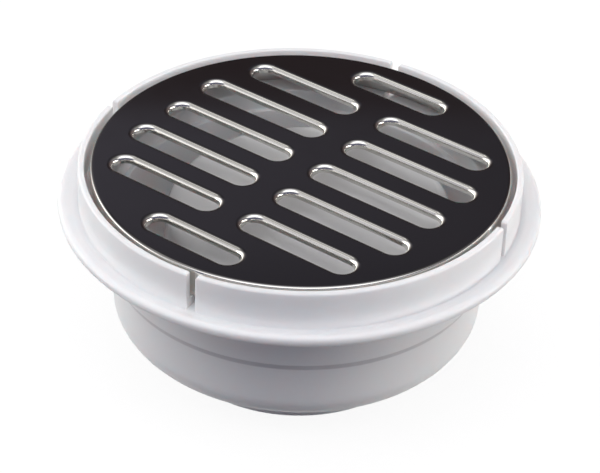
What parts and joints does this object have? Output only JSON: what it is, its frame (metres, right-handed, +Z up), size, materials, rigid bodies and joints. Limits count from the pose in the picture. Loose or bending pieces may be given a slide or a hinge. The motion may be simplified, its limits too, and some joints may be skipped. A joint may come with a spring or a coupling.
{
  "type": "floor gully trap",
  "caption": "Round moulded floor gully trap with a flanged collar, a lift-out water-seal bell, a bottom outlet and a slotted pressed-metal grate.",
  "frame": {"origin": "centre of the lower end of the outlet spigot", "axes": "+Z up along the trap's axis; X along the grate's slots"},
  "size_m": [0.1464, 0.1464, 0.066],
  "materials": {
    "trap_body": "glossy moulded white PVC",
    "trap_bell": "glossy moulded white PVC",
    "grate_steel": "mirror-polished pressed stainless steel"
  },
  "bodies": {
    "root": {"body": "trap_body", "bell": "trap_bell", "grate": "grate_steel"}
  },
  "joints": []
}
